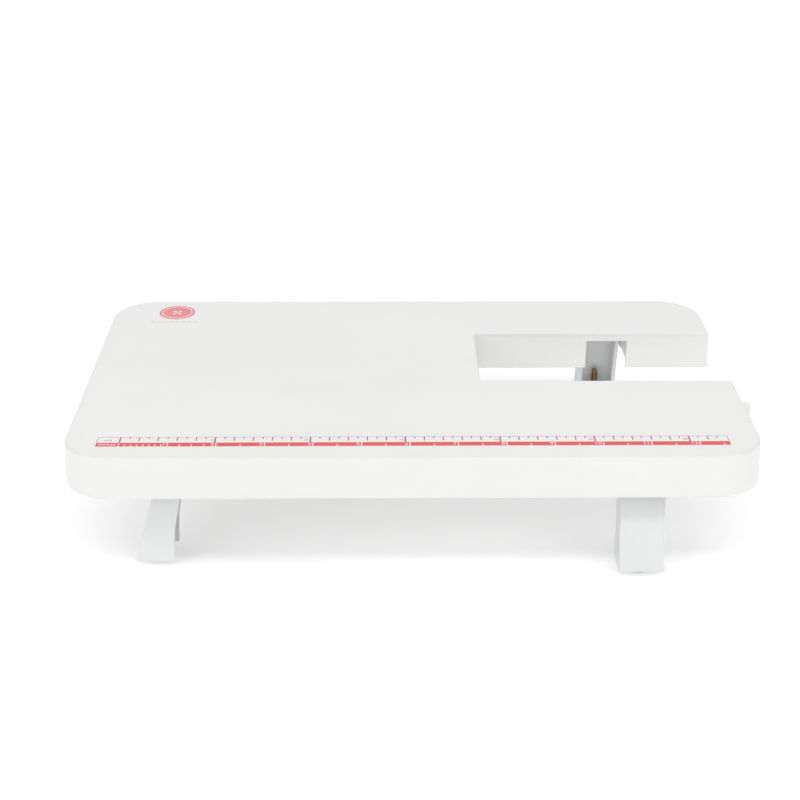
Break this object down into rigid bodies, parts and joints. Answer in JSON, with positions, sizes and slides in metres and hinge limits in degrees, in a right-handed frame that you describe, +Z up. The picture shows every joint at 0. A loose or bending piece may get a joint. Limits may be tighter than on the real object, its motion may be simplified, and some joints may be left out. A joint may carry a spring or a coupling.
{
  "type": "sewing machine extension table",
  "caption": "Low moulded table that widens a sewing machine's bed, with a cutout for the free arm, a printed ruler and folding legs on screw feet.",
  "frame": {"origin": "on the floor under the middle of the object's box, with the feet screwed in and the legs unfolded", "axes": "+X to the right, along the ruler towards the open end of the cutout; +Y to the back; +Z up"},
  "size_m": [0.3732, 0.2254, 0.0731],
  "materials": {
    "white_plastic": "satin moulded ABS, near white",
    "leg_plastic": "satin moulded ABS, slightly cooler white",
    "knob_plastic": "satin moulded plastic, off white",
    "ruler_print": "printed label, red and white",
    "emblem_print": "printed label, red",
    "pin_steel": "drawn steel wire",
    "brass": "turned brass, slightly dull",
    "pad_rubber": "matt light grey rubber"
  },
  "bodies": {
    "table": {"table_top": "white_plastic", "ruler_strip": "ruler_print", "emblem": "emblem_print", "hinge_pin_front_left": "pin_steel", "hinge_pin_front_right": "pin_steel", "hinge_pin_back_right": "pin_steel", "hinge_pin_back_left": "pin_steel"},
    "leg_front_left": {"leg_front_left": "leg_plastic", "threaded_insert_front_left": "brass"},
    "pad_front_left": {"foot_pad_front_left": "pad_rubber"},
    "foot_front_left": {"foot_knob_front_left": "knob_plastic", "foot_screw_front_left": "brass"},
    "leg_front_right": {"leg_front_right": "leg_plastic", "threaded_insert_front_right": "brass"},
    "pad_front_right": {"foot_pad_front_right": "pad_rubber"},
    "foot_front_right": {"foot_knob_front_right": "knob_plastic", "foot_screw_front_right": "brass"},
    "leg_back_right": {"leg_back_right": "leg_plastic", "threaded_insert_back_right": "brass"},
    "pad_back_right": {"foot_pad_back_right": "pad_rubber"},
    "foot_back_right": {"foot_knob_back_right": "knob_plastic", "foot_screw_back_right": "brass"},
    "leg_back_left": {"leg_back_left": "leg_plastic", "threaded_insert_back_left": "brass"},
    "pad_back_left": {"foot_pad_back_left": "pad_rubber"},
    "foot_back_left": {"foot_knob_back_left": "knob_plastic", "foot_screw_back_left": "brass"}
  },
  "joints": [
    {"name": "fold_front_left", "type": "hinge", "parent": "table", "child": "leg_front_left", "pos_m": [-0.12725, -0.085, 0.0575], "axis": [0, -1, 0], "range_deg": [0, 106]},
    {"name": "travel_front_left", "type": "slide", "parent": "leg_front_left", "child": "pad_front_left", "axis": [0, 0, 1], "range_m": [-0.0105, 0]},
    {"name": "screw_front_left", "type": "hinge", "parent": "pad_front_left", "child": "foot_front_left", "pos_m": [-0.13845, -0.085, 0.002], "axis": [0, 0, 1], "range_deg": [-5400, 0]},
    {"name": "fold_front_right", "type": "hinge", "parent": "table", "child": "leg_front_right", "pos_m": [0.12035, -0.0879, 0.0575], "axis": [1, 0, 0], "range_deg": [0, 106]},
    {"name": "travel_front_right", "type": "slide", "parent": "leg_front_right", "child": "pad_front_right", "axis": [0, 0, 1], "range_m": [-0.0105, 0]},
    {"name": "screw_front_right", "type": "hinge", "parent": "pad_front_right", "child": "foot_front_right", "pos_m": [0.12035, -0.0991, 0.002], "axis": [0, 0, 1], "range_deg": [-5400, 0]},
    {"name": "fold_back_right", "type": "hinge", "parent": "table", "child": "leg_back_right", "pos_m": [0.12035, 0.0879, 0.0575], "axis": [-1, 0, 0], "range_deg": [0, 106]},
    {"name": "travel_back_right", "type": "slide", "parent": "leg_back_right", "child": "pad_back_right", "axis": [0, 0, 1], "range_m": [-0.0105, 0]},
    {"name": "screw_back_right", "type": "hinge", "parent": "pad_back_right", "child": "foot_back_right", "pos_m": [0.12035, 0.0991, 0.002], "axis": [0, 0, 1], "range_deg": [-5400, 0]},
    {"name": "fold_back_left", "type": "hinge", "parent": "table", "child": "leg_back_left", "pos_m": [-0.12725, 0.085, 0.0575], "axis": [0, -1, 0], "range_deg": [0, 106]},
    {"name": "travel_back_left", "type": "slide", "parent": "leg_back_left", "child": "pad_back_left", "axis": [0, 0, 1], "range_m": [-0.0105, 0]},
    {"name": "screw_back_left", "type": "hinge", "parent": "pad_back_left", "child": "foot_back_left", "pos_m": [-0.13845, 0.085, 0.002], "axis": [0, 0, 1], "range_deg": [-5400, 0]}
  ],
  "couplings": [
    {"joint": "screw_front_left", "follows": "travel_front_left", "rad_per_m": 8976},
    {"joint": "screw_front_right", "follows": "travel_front_right", "rad_per_m": 8976},
    {"joint": "screw_back_right", "follows": "travel_back_right", "rad_per_m": 8976},
    {"joint": "screw_back_left", "follows": "travel_back_left", "rad_per_m": 8976}
  ]
}
